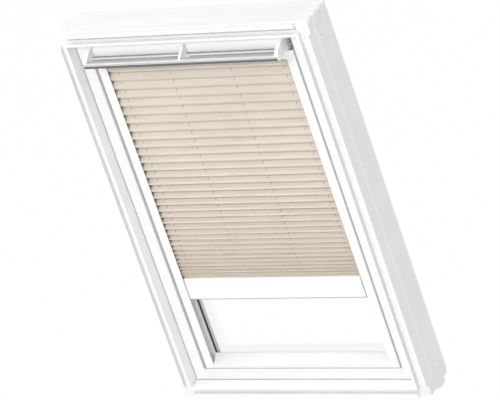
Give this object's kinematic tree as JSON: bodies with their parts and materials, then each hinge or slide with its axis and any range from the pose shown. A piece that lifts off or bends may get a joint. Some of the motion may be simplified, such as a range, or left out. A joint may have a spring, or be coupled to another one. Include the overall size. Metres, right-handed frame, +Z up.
{
  "type": "roof window with pleated blind",
  "caption": "Centre-pivot roof window with a finger-jointed timber frame, a top control bar on a ventilation flap, and a pleated blind in side rails.",
  "frame": {"origin": "middle of the underside of the frame's bottom member, half way through its depth", "axes": "+Z up along the window's height, +Y from the room to the outside, +X to the right seen from the room"},
  "size_m": [0.78, 0.1813, 1.19],
  "materials": {
    "lacquered_timber": "white lacquer, satin",
    "grey_sheet": "lacquered sheet",
    "zinc_steel": "zinc plated",
    "black_rubber": "matte",
    "clear_glass": "clear",
    "white_plastic": "satin",
    "white_rail": "white powder coat",
    "bare_aluminium": "anodised",
    "beige_cloth": "woven",
    "grey_foam": "open foam"
  },
  "bodies": {
    "frame": {"frame_top": "lacquered_timber", "frame_bottom": "lacquered_timber", "frame_left": "lacquered_timber", "frame_right": "lacquered_timber", "strike_plate": "zinc_steel", "stop_rib": "lacquered_timber", "top_seal": "black_rubber", "frame_hinge_left": "zinc_steel", "frame_hinge_right": "zinc_steel", "frame_cover_left": "grey_sheet", "frame_cover_right": "grey_sheet", "frame_cover_bottom": "grey_sheet", "top_hood": "grey_sheet"},
    "sash": {"sash_top": "lacquered_timber", "sash_bottom": "lacquered_timber", "sash_left": "lacquered_timber", "sash_right": "lacquered_timber", "inner_pane": "clear_glass", "outer_pane": "clear_glass", "pane_spacer": "zinc_steel", "inner_gasket": "black_rubber", "outer_gasket": "black_rubber", "sash_cover_left": "grey_sheet", "sash_cover_right": "grey_sheet", "sash_cover_top": "grey_sheet", "sash_cover_bottom": "grey_sheet", "sash_hinge_left": "zinc_steel", "sash_hinge_right": "zinc_steel", "latch_casing": "zinc_steel", "air_filter": "grey_foam", "flap_ear_left": "zinc_steel", "flap_ear_right": "zinc_steel", "sill_bead": "lacquered_timber", "side_rail_left": "white_rail", "side_rail_right": "white_rail", "rail_foot_left": "white_plastic", "rail_foot_right": "white_plastic", "head_rail": "white_rail", "head_clip_left": "zinc_steel", "head_clip_right": "zinc_steel", "pleated_cloth": "beige_cloth"},
    "flap": {"flap_cover": "white_plastic", "control_bar": "bare_aluminium", "bar_arm_left": "white_plastic", "bar_arm_middle": "white_plastic", "bar_arm_right": "white_plastic", "bar_cap_left": "white_plastic", "bar_cap_right": "white_plastic"},
    "latch": {"latch_bolt": "zinc_steel"},
    "blind": {"bottom_rail": "white_rail", "rail_glider_left": "white_plastic", "rail_glider_right": "white_plastic"}
  },
  "joints": [
    {"name": "sash_pivot", "type": "hinge", "parent": "frame", "child": "sash", "pos_m": [0, 0.0095, 0.589], "axis": [1, 0, 0], "range_deg": [0, 160]},
    {"name": "flap_hinge", "type": "hinge", "parent": "sash", "child": "flap", "pos_m": [0, -0.0225, 1.1], "axis": [1, 0, 0], "range_deg": [0, 20]},
    {"name": "latch_slide", "type": "slide", "parent": "sash", "child": "latch", "axis": [0, 0, -1], "range_m": [0, 0.008]},
    {"name": "blind_slide", "type": "slide", "parent": "sash", "child": "blind", "axis": [0, 0, 1], "range_m": [-0.2, 0.59], "deforming": ["pleated_cloth"]}
  ],
  "couplings": [
    {"joint": "latch_slide", "follows": "flap_hinge", "m_per_rad": 0.0229}
  ]
}
